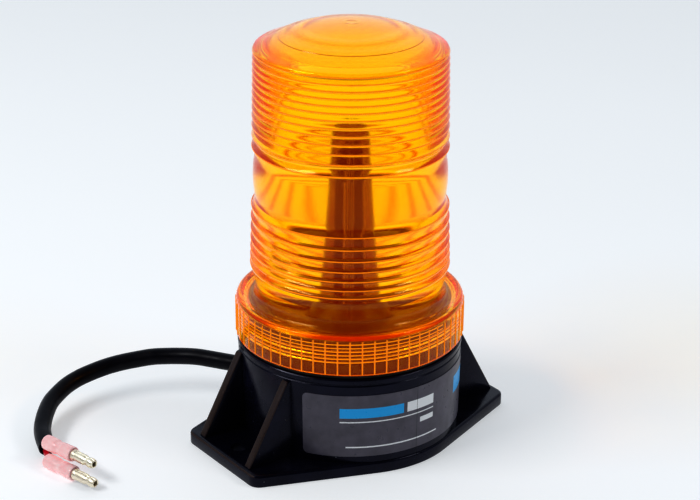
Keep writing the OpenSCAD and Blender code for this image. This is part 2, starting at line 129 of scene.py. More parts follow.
def rounded(outline, radius, steps=4):
    """A closed outline with each corner off the axis turned into an arc."""
    out = []
    for i, p in enumerate(outline):
        here = Vector(p)
        if here.x < 1e-6:
            out.append(tuple(here))
            continue
        before = Vector(outline[i - 1]) - here
        after = Vector(outline[(i + 1) % len(outline)]) - here
        turn = before.angle(after)
        if turn > NEARLY_STRAIGHT:
            out.append(tuple(here))
            continue
        reach = min(radius / math.tan(turn / 2), 0.45 * before.length, 0.45 * after.length)
        start = here + before.normalized() * reach
        end = here + after.normalized() * reach
        for s in range(steps + 1):
            t = s / steps
            out.append(tuple(start * (1 - t) ** 2 + here * 2 * t * (1 - t) + end * t * t))
    return out


def flowing(points, steps):
    """A Catmull-Rom curve through the points, ends included."""
    p = [Vector(q) for q in points]
    p = [2 * p[0] - p[1], *p, 2 * p[-1] - p[-2]]
    out = []
    for i in range(1, len(p) - 2):
        for s in range(steps):
            t = s / steps
            a = 2 * p[i]
            b = p[i + 1] - p[i - 1]
            c = 2 * p[i - 1] - 5 * p[i] + 4 * p[i + 1] - p[i + 2]
            d = -p[i - 1] + 3 * p[i] - 3 * p[i + 1] + p[i + 2]
            out.append((a + b * t + c * t * t + d * t ** 3) / 2)
    out.append(p[-2])
    return out


def sweep(name, path, radius, sides, ends=()):
    """A round tube along a path. ends adds (radius, distance back) rings that hollow out its far end."""
    path = [Vector(p) for p in path]
    side = None
    rings = []
    for i, p in enumerate(path):
        along = (path[min(i + 1, len(path) - 1)] - path[max(i - 1, 0)]).normalized()
        if side is None:
            side = along.orthogonal().normalized()
        side = (side - along * side.dot(along)).normalized()
        rings.append((p, side.copy(), along.cross(side), along, radius))
    last = rings[-1]
    for r, back in ends:
        rings.append((last[0] - last[3] * back, last[1], last[2], last[3], r))
    points = []
    for centre, u, w, _, r in rings:
        for a in even_angles(sides):
            points.append(centre + (u * math.cos(a) + w * math.sin(a)) * r)
    faces = [list(range(sides))[::-1]]
    for i in range(len(rings) - 1):
        for k in range(sides):
            n = (k + 1) % sides
            faces.append((i * sides + k, i * sides + n, (i + 1) * sides + n, (i + 1) * sides + k))
    faces.append([(len(rings) - 1) * sides + k for k in range(sides)])
    return make_mesh(name, points, faces)


def place(obj, start, azimuth):
    """Moves a piece turned about Z so that its axis lies flat, from start along azimuth."""
    lay = Matrix.Rotation(math.radians(90), 4, "Y")
    turn = Matrix.Rotation(math.radians(azimuth), 4, "Z")
    obj.data.transform(Matrix.Translation(Vector(start) * MM) @ turn @ lay)
    return obj


def combine(obj, others, operation):
    """Unites obj with the others, or cuts them out of it, and removes them."""
    for other in others:
        modifier = obj.modifiers.new("combine", "BOOLEAN")
        modifier.operation = operation
        modifier.solver = "MANIFOLD"
        modifier.object = other
        graph = bpy.context.evaluated_depsgraph_get()
        mesh = bpy.data.meshes.new_from_object(obj.evaluated_get(graph))
        obj.modifiers.clear()
        old, obj.data = obj.data, mesh
        bpy.data.meshes.remove(old)
        bpy.data.objects.remove(other)
    obj.data.shade_smooth()
    obj.data.set_sharp_from_angle(angle=SHARP)
    return obj


# ---- materials ---------------------------------------------------------------
PER_MM = 1 / MM


class Surface:
    """A node material being built round one Principled shader."""

    def __init__(self, name, color, rough, **sockets):
        self.material = bpy.data.materials.new(name)
        self.material.use_nodes = True
        tree = self.material.node_tree
        self.nodes, self.links = tree.nodes, tree.links
        self.shader = self.nodes["Principled BSDF"]
        self.output = self.nodes["Material Output"]
        self.color = color
        self.shader.inputs["Base Color"].default_value = (*color, 1)
        self.shader.inputs["Roughness"].default_value = rough
        for key, value in sockets.items():
            self.shader.inputs[key.replace("_", " ")].default_value = value
        self.place = self.nodes.new("ShaderNodeTexCoord").outputs["Object"]

    def noise(self, scale, detail=4.0):
        node = self.nodes.new("ShaderNodeTexNoise")
        node.inputs["Scale"].default_value = scale
        node.inputs["Detail"].default_value = detail
        self.links.new(self.place, node.inputs["Vector"])
        return node.outputs["Fac"]

    def remap(self, value, low, high, to_low, to_high):
        node = self.nodes.new("ShaderNodeMapRange")
        node.inputs["From Min"].default_value = low
        node.inputs["From Max"].default_value = high
        node.inputs["To Min"].default_value = to_low
        node.inputs["To Max"].default_value = to_high
        self.links.new(value, node.inputs["Value"])
        return node.outputs["Result"]

    def maths(self, operation, *values):
        node = self.nodes.new("ShaderNodeMath")
        node.operation = operation
        for socket, value in zip(node.inputs, values):
            if isinstance(value, (int, float)):
                socket.default_value = value
            else:
                self.links.new(value, socket)
        return node.outputs["Value"]

    def blend(self, factor, first, second):
        node = self.nodes.new("ShaderNodeMix")
        node.data_type = "RGBA"
        self.links.new(factor, node.inputs["Factor"])
        for key, value in (("A", first), ("B", second)):
            socket = [s for s in node.inputs if s.name == key and s.type == "RGBA"][0]
            if isinstance(value, tuple):
                socket.default_value = (*value, 1)
            else:
                self.links.new(value, socket)
        return [s for s in node.outputs if s.type == "RGBA"][0]

    def tone(self, spread, scale, tint=None):
        """Varies the colour between darker and lighter, or towards a tint."""
        dark = tuple(c * (1 - spread) for c in self.color)
        light = tint or tuple(min(1, c * (1 + spread)) for c in self.color)
        factor = self.remap(self.noise(scale), 0.3, 0.7, 0, 1)
        return self.paint(self.blend(factor, dark, light))

    def between(self, value, low, high):
        return self.maths("MULTIPLY", self.maths("GREATER_THAN", value, low),
                          self.maths("LESS_THAN", value, high))

    def position(self):
        """Angle round the axis in degrees, then |x|, |y| and z in millimetres."""
        parts = self.nodes.new("ShaderNodeSeparateXYZ")
        self.links.new(self.place, parts.inputs[0])
        x, y, z = (parts.outputs[axis] for axis in "XYZ")
        angle = self.maths("MULTIPLY", self.maths("ARCTAN2", y, x), 180 / math.pi)
        sizes = [self.maths("MULTIPLY", self.maths("ABSOLUTE", v), 1 / MM) for v in (x, y, z)]
        return (angle, *sizes)

    def paint(self, color):
        self.links.new(color, self.shader.inputs["Base Color"])
        self.painted = color
        return self

    def gloss(self, low, high, scale):
        """Varies the roughness between low and high."""
        value = self.remap(self.noise(scale, 5.0), 0.3, 0.7, low, high)
        self.links.new(value, self.shader.inputs["Roughness"])
        return self

    def relief(self, depth_mm, scale, detail=3.0):
        node = self.nodes.new("ShaderNodeBump")
        node.inputs["Strength"].default_value = 1
        node.inputs["Distance"].default_value = depth_mm * MM
        self.links.new(self.noise(scale, detail), node.inputs["Height"])
        self.links.new(node.outputs["Normal"], self.shader.inputs["Normal"])
        return self

    def lets_lamps_through(self, tint=(1, 1, 1)):
        """Glass would block lamps from what is inside it, so their shadow rays pass."""
        path = self.nodes.new("ShaderNodeLightPath")
        clear = self.nodes.new("ShaderNodeBsdfTransparent")
        clear.inputs["Color"].default_value = (*tint, 1)
        mix = self.nodes.new("ShaderNodeMixShader")
        self.links.new(path.outputs["Is Shadow Ray"], mix.inputs["Fac"])
        self.links.new(self.shader.outputs["BSDF"], mix.inputs[1])
        self.links.new(clear.outputs["BSDF"], mix.inputs[2])
        self.links.new(mix.outputs["Shader"], self.output.inputs["Surface"])
        return self

    def absorbs(self, color, density=PER_MM):
        """Light fades by exp(color - 1) in each millimetre at density PER_MM."""
        node = self.nodes.new("ShaderNodeVolumeAbsorption")
        node.inputs["Color"].default_value = (*color, 1)
        node.inputs["Density"].default_value = density
        self.links.new(node.outputs["Volume"], self.output.inputs["Volume"])
        return self


def amber_polycarbonate():
    # The emission is a painted orange glow in the lens body, which is no lamp.
    s = Surface("amber_polycarbonate", (1.0, 0.95, 0.7), 0.1, IOR=1.58, Transmission_Weight=1.0,
                Specular_Tint=(0.7, 0.4, 0.14, 1), Emission_Color=(1.0, 0.09, 0.0, 1),
                Emission_Strength=0.065)
    s.relief(0.004, 260, 2.0)
    s.lets_lamps_through((1.0, 0.97, 0.9))
    return s.absorbs((0.9995, 0.945, 0.0)).material


def painted_glow_edge(name, green, glow):
    """Raised edges of the dyed plastic, with a painted glow: their emission stands in for the light that
    they catch.
    """
    s = Surface(name, (1.0, green, 0.008), 0.25, Specular_IOR_Level=0.2,
                Emission_Color=(1.0, green, 0.0, 1), Emission_Strength=glow)
    s.tone(0.15, 300).gloss(0.2, 0.35, 260)
    return s.relief(0.006, 900).material


DUST = (0.16, 0.17, 0.19)
DUST_ABOVE = 0.765
SEAM = (0.001, 0.001, 0.001)
SEAM_DEG = 0.1
# Painted brown reflection of the amber lens, laid on the cut edges.
CUT_EDGE_SHEEN = (0.055, 0.034, 0.023)

# The cut edges, in millimetres. A gusset's sloping edge is found by its distance from the
# base's centre along the slope's outward normal, then by |y| and height; an ear's end by |x|
# and height.
SLOPE_NORMAL = (0.873, 0.487)
SLOPE_OUT = (55.3, 57)
SLOPE_Y = (14.2, 18.1)
SLOPE_Z = (5.4, 37.4)
EAR_END_X = (62.1, 63.2)
EAR_END_Z = (4.2, 4.9)


def black_moulding():
    """Glossy black; where the gussets and ears were cut, the edges are rougher and carry a painted brown
    reflection of the amber lens.
    """
    s = Surface("black_moulding", (0.004, 0.0038, 0.012), 0.2, Specular_IOR_Level=0.24,
                Specular_Tint=(0.8, 0.8, 1.0, 1))
    s.tone(0.3, 90, (0.008, 0.008, 0.02))
    angle, x, y, z = s.position()
    out_x, out_z = SLOPE_NORMAL
    slope = s.maths("ADD", s.maths("MULTIPLY", x, out_x), s.maths("MULTIPLY", z, out_z))
    ramp = s.maths("MULTIPLY", s.between(slope, *SLOPE_OUT), s.between(z, *SLOPE_Z))
    ramp = s.maths("MULTIPLY", ramp, s.between(y, *SLOPE_Y))
    end = s.maths("MULTIPLY", s.between(x, *EAR_END_X), s.between(z, *EAR_END_Z))
    sheen_and_scuff = s.maths("MULTIPLY", s.maths("ADD", ramp, end),
                      s.remap(s.noise(2200, 4), 0.35, 0.65, 0.4, 1))
    # Painted brown reflection on the cut edges; the same mask makes them rougher below.
    color = s.blend(sheen_and_scuff, s.painted, CUT_EDGE_SHEEN)
    color = s.blend(s.maths("GREATER_THAN", s.noise(620, 2), DUST_ABOVE), color, DUST)
    seam = s.between(s.maths("ABSOLUTE", angle), 90 - SEAM_DEG, 90 + SEAM_DEG)
    color = s.blend(seam, color, SEAM)
    s.paint(color)
    rough = s.remap(s.noise(160, 5), 0.3, 0.7, 0.14, 0.3)
    rough = s.maths("ADD", rough, s.maths("MULTIPLY", sheen_and_scuff, 0.4))
    s.links.new(rough, s.shader.inputs["Roughness"])
    return s.relief(0.009, 1400).material


def rubber():
    s = Surface("rubber", (0.006, 0.006, 0.007), 0.6, Specular_IOR_Level=0.3)
    s.tone(0.3, 120).gloss(0.5, 0.75, 300)
    return s.relief(0.03, 1800).material


def cable_jacket():
    s = Surface("cable_jacket", (0.006, 0.006, 0.011), 0.38, Specular_IOR_Level=0.16)
    s.tone(0.3, 150, (0.009, 0.009, 0.015)).gloss(0.3, 0.48, 220)
    return s.relief(0.02, 1500).material


def dark_moulding():
    s = Surface("dark_moulding", (0.012, 0.009, 0.009), 0.35)
    s.tone(0.4, 110).gloss(0.28, 0.5, 200)
    return s.relief(0.02, 1300).material


def plain_metal(name, color, low, high):
    s = Surface(name, color, low, Metallic=1.0)
    s.tone(0.12, 140).gloss(low, high, 320)
    return s.relief(0.008, 900).material


def plastic(name, color, low, high, spread=0.15, **sockets):
    s = Surface(name, color, low, **sockets)
    s.tone(spread, 180).gloss(low, high, 260)
    return s.relief(0.012, 1300).material


def clear_glass():
    s = Surface("tube_glass", (0.97, 0.985, 1.0), 0.05, IOR=1.47, Transmission_Weight=1.0,
                Specular_Tint=(0.5, 0.1, 0.08, 1))
    s.relief(0.004, 200).lets_lamps_through()
    return s.absorbs((0.2, 0.0, 0.0), 5 * PER_MM).material


def guard_plastic():
    s = Surface("guard_plastic", (0.9, 0.86, 0.8), 0.06, IOR=1.5, Transmission_Weight=1.0,
                Specular_Tint=(0.5, 0.12, 0.08, 1))
    s.relief(0.01, 240).lets_lamps_through((0.85, 0.8, 0.74))
    return s.absorbs((0.45, 0.2, 0.12)).material


def pink_vinyl():
    # The emission is a painted pink glow; the sleeve is no lamp.
    s = Surface("pink_vinyl", (1.0, 0.57, 0.58), 0.3, Emission_Color=(1.0, 0.5, 0.5, 1),
                Emission_Strength=0.1)
    s.shader.inputs["Subsurface Weight"].default_value = 0.25
    s.shader.inputs["Subsurface Scale"].default_value = 0.0015
    s.shader.inputs["Subsurface Radius"].default_value = (1.0, 0.4, 0.4)
    s.tone(0.08, 220, (1.0, 0.68, 0.67)).gloss(0.2, 0.42, 320)
    return s.relief(0.03, 700).material


def floor_material():
    """Pale sweep lit a little from below, as on a light table."""
    s = Surface("floor", (0.71, 0.725, 0.74), 0.7, Specular_IOR_Level=0.1,
                Emission_Color=(0.95, 0.97, 0.985, 1), Emission_Strength=0.335)
    return s.tone(0.008, 3).gloss(0.65, 0.75, 4).material


# Printed blocks of the label: low and high angle in degrees, low and high height in
# millimetres, and colour. They are plain bars that spell nothing.
CYAN = (0.0, 0.38, 0.80)
WHITE = (0.78, 0.80, 0.82)
LABEL_BARS = [
    (229, 262, 24.6, 28.8, CYAN),
    (264, 281, 24.6, 28.8, WHITE),
    (229, 281, 22.6, 23.1, WHITE),
    (272, 281, 18.4, 20.6, WHITE),
    (232, 284, 11.6, 12.2, WHITE),
    (301, 317, 22.0, 29.5, CYAN),
]


def label_film():
    """Charcoal film with bars, placed by each point's angle and height."""
    s = Surface("label_film", (0.085, 0.078, 0.105), 0.34)
    angle, _, _, height = s.position()
    degrees = s.maths("ADD", angle, 360)
    s.tone(0.2, 200)
    color = s.painted
    for low_a, high_a, low_z, high_z, ink in LABEL_BARS:
        bar = s.maths("MULTIPLY", s.between(degrees, low_a, high_a), s.between(height, low_z, high_z))
        color = s.blend(bar, color, ink)
    s.paint(s.blend(s.between(degrees, 270 - SEAM_DEG, 270 + SEAM_DEG), color, SEAM))
    s.gloss(0.26, 0.42, 300)
    return s.relief(0.008, 1100).material


def give(obj, material):
    obj.data.materials.clear()
    obj.data.materials.append(material)
    return obj


def stand_for(obj, body, material, slot, *nodes):
    """Puts a new piece on a body, in place of CAD nodes."""
    give(obj, material)
    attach(obj, body)
    if nodes:
        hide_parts(*nodes)
    return obj


# ---- lead --------------------------------------------------------------------
ROUTE = [
    (-27.4, 40.6, 18), (-31, 46, 18), (-34.5, 51.5, 18), (-38, 56.5, 18),
    (-42, 61.5, 17.5), (-46.5, 66, 17), (-51.5, 70, 16.5), (-57, 73.5, 15.5),
    (-63, 76.5, 14.5), (-69, 78.5, 13.5), (-75.5, 79.3, 12.5), (-82, 79.3, 11.5),
    (-88, 78, 10.5), (-93.5, 75.5, 9.5), (-99, 72, 8.5), (-103.5, 67.5, 7.5),
    (-107.5, 62.5, 6.5), (-111, 57, 5.5), (-113.5, 51, 5), (-115.5, 44.5, 4.5),
]
CABLE_D = 7.0
CORE_R = 1.15
TERMINAL_AZ = -77
UPPER_START = (-116.8, 42.4, 8.5)
LOWER_START = (-119.3, 37.5, 3.1)
SLEEVE_LEN = 16.0


def bullet_sleeve(name, start):
    """Vinyl sleeve with a crimp dent and a slightly belled mouth."""
    outline = [(1.3, 0), (2.65, 0), (3.0, 0.5), (3.05, 3), (3.0, 6.4), (2.72, 7.4), (2.7, 8.6),
               (2.92, 9.6), (2.95, 13), (3.03, 15.2), (2.9, 15.9), (2.5, 16), (1.9, 15.9),
               (1.9, 9), (1.3, 8.4)]

    def dent(angle, r, z):
        if r < 2.2 or not 4 < z < 13:
            return r
        return r - 0.16 * math.exp(-((z - 8.1) / 1.3) ** 2) * math.cos(angle) ** 2
    return place(lathe(name, rounded(outline, 0.25, 3), even_angles(56), dent), start, TERMINAL_AZ)


def bullet_pin(name, start):
    """Rolled pin with a detent ring, a seam along it and an open end."""
    s = SLEEVE_LEN
    outline = [(0, s - 6.8), (1.85, s - 6.8), (1.85, s + 0.1), (2.25, s + 0.1), (2.25, s + 1.3),
               (2.0, s + 1.9), (2.1, s + 3), (2.1, s + 6.6), (1.75, s + 7.6), (1.7, s + 8.5),
               (2.0, s + 9.5), (1.98, s + 10.6), (1.6, s + 11.8), (1.15, s + 12), (0.95, s + 11.6),
               (0.9, s + 4), (0, s + 4)]

    def seam(angle, r, z):
        return r - 0.28 * math.exp(-((angle - math.pi) / 0.11) ** 2) if r > 1.5 and z > s + 1.4 else r
    return place(lathe(name, rounded(outline, 0.18, 3), even_angles(96), seam), start, TERMINAL_AZ)


def make_lead():
    path = flowing(ROUTE, 5)
    ends = [(2.9, 0), (2.75, 0.4), (2.7, 4.0)]
    cable = sweep("cable_jacket", path, CABLE_D / 2, 40, ends)
    stand_for(cable, "base", cable_jacket(), "cable_jacket", "cable")

    red = plastic("core_red", (0.55, 0.012, 0.03), 0.25, 0.4)
    for name, first, start in (("upper_core", (-115.6, 44.7, 5.9), UPPER_START),
                               ("lower_core", (-116.2, 44.7, 3.2), LOWER_START)):
        inside_jacket = Vector(first) + Vector((1.2, 3.4, 0))
        inside_sleeve = Vector(start) + Vector((0.22, -0.97, 0))
        bend = flowing([inside_jacket, first, inside_sleeve], 6)
        stand_for(sweep(name, bend, CORE_R, 20), "base", red, "core_red", "core_wires")

    pink = pink_vinyl()
    gilt = plain_metal("tinned_pin", (0.96, 0.86, 0.7), 0.3, 0.5)
    for side, start in (("upper", UPPER_START), ("lower", LOWER_START)):
        stand_for(bullet_sleeve(f"{side}_sleeve", start), "base", pink,
                                 "pink_sleeve", f"{side}_bullet_sleeve")
        stand_for(bullet_pin(f"{side}_pin", start), "base", gilt,
                                 "tinned_pin", f"{side}_bullet_pin")


# ---- lens --------------------------------------------------------------------
RIDGES = 60
PITCH = 3.0
CREST_R = 38.5
RIB_DEPTH = 0.9
SEAM_HALF = 0.9
SEAM_H = 0.05
DOME_R = 76.0
CAP_R = 27.8
RIDGE_H = 0.35
RIBS_UP, RIBS_DOWN = 13, 7
BAND_Z = 109.3
BAND_TO_RIB = 12.1
BAND_CURVE_R, BAND_CURVE_Z = 35, 39.7
SEAM_AZ = 234
LENS_WALL = 2.2
COLLAR_BORE = 43.0
COLLAR_TOP = 56.6
THREAD_H = 1.2
THREAD_RUN_OUT = 0.06
NECK_R = 41.4
THREAD_START = 45.4
NECK_TURNS = 3.0
# The beads beside the thread's flanks, painted glints that stand in for light caught in the thread: their
# own radius, their coil's radius, how far they lie below and above the thread's middle, and the turns
# that they cover.
EDGE_R = 0.2
EDGE_COIL_R = 43.25
EDGE_OFF = 0.75
EDGE_FIRST_TURN, EDGE_TURNS = 0.4, 2.4


def thread_height(z, angle, start, turns, height, half_width):
    """Height of a round-topped helical ridge above its wall, at a height z and angle."""
    best = 0.0
    for turn in range(int(turns) + 2):
        along = turn + angle / (2 * math.pi)
        if not 0 <= along <= turns:
            continue
        offset = abs(z - start - PITCH * along)
        bump = 0.5 + 0.5 * math.cos(math.pi * min(1.0, offset / half_width))
        run_out = min(1.0, along / THREAD_RUN_OUT, (turns - along) / THREAD_RUN_OUT)
        best = max(best, height * bump * max(0.0, run_out))
    return best


def upper_gap(k):
    return 2.6 + 2 * math.exp(-(k - 1) / 3)


def upper_rib_z(k):
    return BAND_Z + BAND_TO_RIB + sum(upper_gap(j) for j in range(1, k + 1))


def upper_depth(k):
    return RIB_DEPTH * upper_gap(max(k, 1)) / upper_gap(1)


def lower_rib_z(k):
    return BAND_Z - BAND_TO_RIB - 5 * k + 0.18 * k * (k - 1)


def upper_rib_r(z):
    return CREST_R - 0.02 * (z - BAND_Z - BAND_TO_RIB)


def lower_rib_r(z):
    return CREST_R + 0.45 + 0.03 * (BAND_Z - BAND_TO_RIB - z)


def prism(foot, crest, steps, bulge=1.25):
    """Points of a convex rib face from its foot to its crest, ends included."""
    out = []
    for s in range(steps + 1):
        t = s / steps
        out.append((crest[0] - (crest[0] - foot[0]) * (1 - t) ** bulge,
                    foot[1] + (crest[1] - foot[1]) * t))
    return out


def lens_outline(bottom, top, collar_r):
    """Outer wall from the collar up, then the inner wall down."""
    shoulder = flowing([(collar_r, 56.8), (45.4, 58.1), (44.7, 59.2), (43.4, 59.5), (42, 59.1),
                        (40.8, 58.7), (39.4, 58.7), (38.3, 59.5), (37.5, 61.1), (37.3, 63.2),
                        (37.8, 65.6), (38.5, 67.8)], 3)
    out = [(collar_r - 0.1, bottom), (collar_r, bottom + 0.5), (collar_r, 56.4)]
    out += [tuple(p) for p in shoulder]
    for k in reversed(range(RIBS_DOWN)):
        z = lower_rib_z(k)
        r = lower_rib_r(z)
        foot_z = z - 2.4 if k == RIBS_DOWN - 1 else lower_rib_z(k + 1) + 1.1
        out += prism((r - RIB_DEPTH, foot_z), (r, z - 0.12), 5)
        out.append((r - 0.06, z + 0.12))
    band_low = lower_rib_z(0) + 1.1
    out.append((lower_rib_r(lower_rib_z(0)) - RIB_DEPTH, band_low))
    for s in range(17):
        a = math.radians(-12 + 24 * s / 16)
        out.append((CREST_R - 0.3 - BAND_CURVE_R * (1 - math.cos(a)),
                    BAND_Z + BAND_CURVE_Z * math.sin(a)))
    for k in range(RIBS_UP):
        z = upper_rib_z(k)
        r = upper_rib_r(z)
        out += [(r - upper_depth(k), z - 0.85), (r - 0.05, z - 0.12)]
        if k == 0:  # the lowest one has a long upper face, which catches the key light
            out += [(r, z + 0.12), (r - 0.3, z + 0.5), (r - 1.3, z + 2.0), (r - 1.4, z + 2.3),
                    (r - 1.3, z + 2.8), (r - RIB_DEPTH, upper_rib_z(1) - 0.95)]
        elif k < RIBS_UP - 1:
            next_z = upper_rib_z(k + 1)
            foot = (upper_rib_r(next_z) - upper_depth(k + 1), next_z - 0.95)
            out += prism(foot, (r, z + 0.12), 5)[:0:-1]
    z = upper_rib_z(RIBS_UP - 1)

    def dome(r, drop=0.0):
        return top - DOME_R + math.sqrt(DOME_R ** 2 - r * r) - drop
    out += [tuple(p) for p in flowing([(upper_rib_r(z), z + 0.12), (37.4, top - 9.75),
                                       (36.6, top - 9.2), (34.5, dome(34.5, 0.15))], 4)]
    out += [(r, dome(r, 0.15)) for r in (33, 31.5, 30, 28.8, CAP_R + 0.15)]
    out += [(CAP_R, dome(CAP_R)), (CAP_R - 0.2, dome(CAP_R - 0.2))]
    for r in (26.5, 25.3, 25.0, 23.5, 21.8, 21.5, 20, 18.8, 18.5, 16, 13, 10, 7, 4.5, 3.2):
        out.append((r, dome(r) - 0.05 * (r < 25.2) + 0.05 * (r < 21.7) - 0.05 * (r < 18.7)))
    out += [(2.6, top - 0.06), (1.8, top - 0.12), (0, top - 0.12)]
    out.append((0, top - LENS_WALL))
    out += [(r, dome(r) - LENS_WALL) for r in (4, 8, 12, 16, 20, 24, 27, 29.5)]
    out += [tuple(p) for p in flowing([(31.6, dome(31.6) - LENS_WALL - 0.1), (33.4, top - 11.2),
                                       (34.7, top - 13), (35, top - 15.5)], 3)]
    out += [(35.15, 140), (35.3, 120), (35.4, 100), (35.5, 80), (35.6, 66), (35.7, 62)]
    out += [tuple(p) for p in flowing([(36.1, 59.3), (37.2, 57.6), (38.8, 56.9), (40.5, 56.8)], 3)]
    rows = 100
    high, low = COLLAR_TOP, bottom + 0.4
    out.append((COLLAR_BORE - 0.2, COLLAR_TOP + 0.2))
    out += [(COLLAR_BORE, high + (low - high) * s / rows) for s in range(rows + 1)]
    out.append((COLLAR_BORE + 0.3, bottom))
    return out


def lens_angles():
    """Even angles, with the edges of the two parting lines put in."""
    seams = (SEAM_AZ, SEAM_AZ - 180)
    out = [a for a in even_angles(220)
           if all(abs(math.degrees(a) - seam) > SEAM_HALF + 0.4 for seam in seams)]
    for seam in seams:
        out += [math.radians(seam + side * off) for side in (-1, 1)
                for off in (SEAM_HALF - 0.16, SEAM_HALF)]
    return sorted(out)


def make_ridges(low_z, collar_r):
    """Grip ridges round the collar, each a low bar that fades out at its ends."""
    outline = [(-0.3, 0), (-0.22, 0.18), (-0.08, RIDGE_H), (0.08, RIDGE_H), (0.22, 0.18), (0.3, 0)]
    levels = [(low_z + 0.3, 0.1), (low_z + 0.7, 1), (COLLAR_TOP, 1), (COLLAR_TOP + 0.8, 0.1)]
    points, faces = [], []
    for a in even_angles(RIDGES):
        out = Vector((math.cos(a), math.sin(a), 0))
        side = Vector((-out.y, out.x, 0))
        start, n = len(points), len(outline)
        for z, share in levels:
            points += [out * (collar_r - 0.02 + h * share) + side * w + Vector((0, 0, z))
                       for w, h in outline]
        for j in range(len(levels) - 1):
            for i in range(n):
                m = (i + 1) % n
                row, above = start + j * n, start + (j + 1) * n
                faces.append((row + i, row + m, above + m, above + i))
        faces += [[start + i for i in reversed(range(n))],
                  [start + (len(levels) - 1) * n + i for i in range(n)]]
    return make_mesh("grip_ridges", points, faces)


def make_rib_glint(name, r, z):
    """A thin ring that stands 0.03 mm proud of a rib's crest; it carries the crest's painted highlight
    line.
    """
    inner, outer = r - 0.12, r + 0.03
    bead = [(inner, z - 0.26), (outer, z - 0.14), (outer, z + 0.14), (inner, z + 0.26)]
    return lathe(name, bead, even_angles(220))


def make_thread_glint(name, mid_z):
    """A thin coil in the collar's wall, beside one flank of the thread: a painted glint line."""
    steps = 360
    coil = []
    for s in range(steps + 1):
        turns = EDGE_FIRST_TURN + EDGE_TURNS * s / steps
        a = 2 * math.pi * turns
        coil.append((EDGE_COIL_R * math.cos(a), EDGE_COIL_R * math.sin(a), mid_z + PITCH * turns))
    return sweep(name, coil, EDGE_R, 8)


def make_lens():
    low, high = box_mm("lens")
    collar_r = high.y - RIDGE_H
    thread_z = THREAD_START + 0.5 * PITCH
    high_rib = upper_rib_z(RIBS_UP - 1)

    def shape(angle, r, z):
        if abs(r - COLLAR_BORE) < 0.01 and z < COLLAR_TOP + 0.1:
            return r - thread_height(z, angle, thread_z, NECK_TURNS - 0.5, THREAD_H, 1.35)
        degrees = math.degrees(angle)
        off = min(abs(degrees - SEAM_AZ), abs(degrees - SEAM_AZ + 180))
        on_outer_wall = r > 36.3 and 59 < z < high_rib
        if off < SEAM_HALF - 0.1 and on_outer_wall:
            return r + SEAM_H
        return r
    lens = lathe("beacon_lens", lens_outline(low.z, high.z, collar_r), lens_angles(), shape,
                 math.radians(30))
    stand_for(lens, "lens", amber_polycarbonate(), "amber_lens", "lens")

    # Painted glow: the grip ridges, the rib crest rings and the thread beads get emissive amber, though
    # they are no lamps.
    edge = painted_glow_edge("amber_edge_glow", 0.27, 0.24)
    thread_glow = painted_glow_edge("amber_thread_glow", 0.46, 0.45)
    stand_for(make_ridges(low.z, collar_r), "lens", edge, "amber_lens")
    ribs = [(upper_rib_r(z), z) for z in map(upper_rib_z, range(RIBS_UP))]
    ribs += [(lower_rib_r(z), z) for z in map(lower_rib_z, range(RIBS_DOWN))]
    for k, (r, z) in enumerate(ribs):
        stand_for(make_rib_glint(f"rib_glint_{k + 1:02}", r, z), "lens", edge, "amber_lens")
    for side, off in (("low", -EDGE_OFF), ("high", EDGE_OFF)):
        coil = make_thread_glint(f"thread_glint_{side}", thread_z + off)
        stand_for(coil, "lens", thread_glow, "amber_lens")


# ---- base --------------------------------------------------------------------
BODY_R = 45.0
EAR_Y = 25.5
BODY_BOTTOM_R = 44.4
BODY_INNER_R = 41.6
FLANGE_T = 5.0
FLOOR_T = 3.0
BODY_TOP_Z = 38.0
SHOULDER_Z = 41.2
NECK_TOP, NECK_BORE = 56.0, 38.8
LEDGE_Z, LEDGE_BORE = 50.0, 34.8
EAR_R = 5.0
GUSSET_Y, GUSSET_T, GUSSET_TOP = 14.4, 3.5, 37.6
BOLT_X, BOLT_R = 54.0, 3.3
EXIT_AZ, EXIT_Z = 124, 18.0


def flange_outline(ear_x, ear_y, inset):
    """Round body and two ears joined by tangents, drawn in from its edge by inset."""
    centre = Vector((ear_x - EAR_R, ear_y - EAR_R))
    big, small = BODY_R + 0.1 - inset, EAR_R - inset
    tangent = math.atan2(centre.y, centre.x) + math.acos((big - small) / centre.length)
    quarter = [centre + small * Vector((math.cos(a), math.sin(a)))
               for a in [tangent * s / 10 for s in range(11)]]
    steps = 16
    quarter += [big * Vector((math.cos(a), math.sin(a)))
                for a in [tangent + (math.pi / 2 - tangent) * s / steps for s in range(steps + 1)]]
    half = quarter + [Vector((-p.x, p.y)) for p in reversed(quarter[:-1])]
    return half + [Vector((p.x, -p.y)) for p in reversed(half)]


def make_flange():
    _, high = box_mm("base_housing")
    levels = [(0.35, 0), (0.1, 0.12), (0, 0.4), (0, FLANGE_T - 1.0), (0.14, FLANGE_T - 0.5),
              (0.5, FLANGE_T - 0.13), (1.0, FLANGE_T)]
    loops = [[(*p, z) for p in flange_outline(high.x, EAR_Y, inset)] for inset, z in levels]
    size = len(loops[0])
    points = [p for loop in loops for p in loop]
    faces = [list(range(size))[::-1]]
    for i in range(len(loops) - 1):
        for k in range(size):
            n = (k + 1) % size
            faces.append((i * size + k, i * size + n, (i + 1) * size + n, (i + 1) * size + k))
    faces.append([(len(loops) - 1) * size + k for k in range(size)])
    return make_mesh("flange", points, faces)


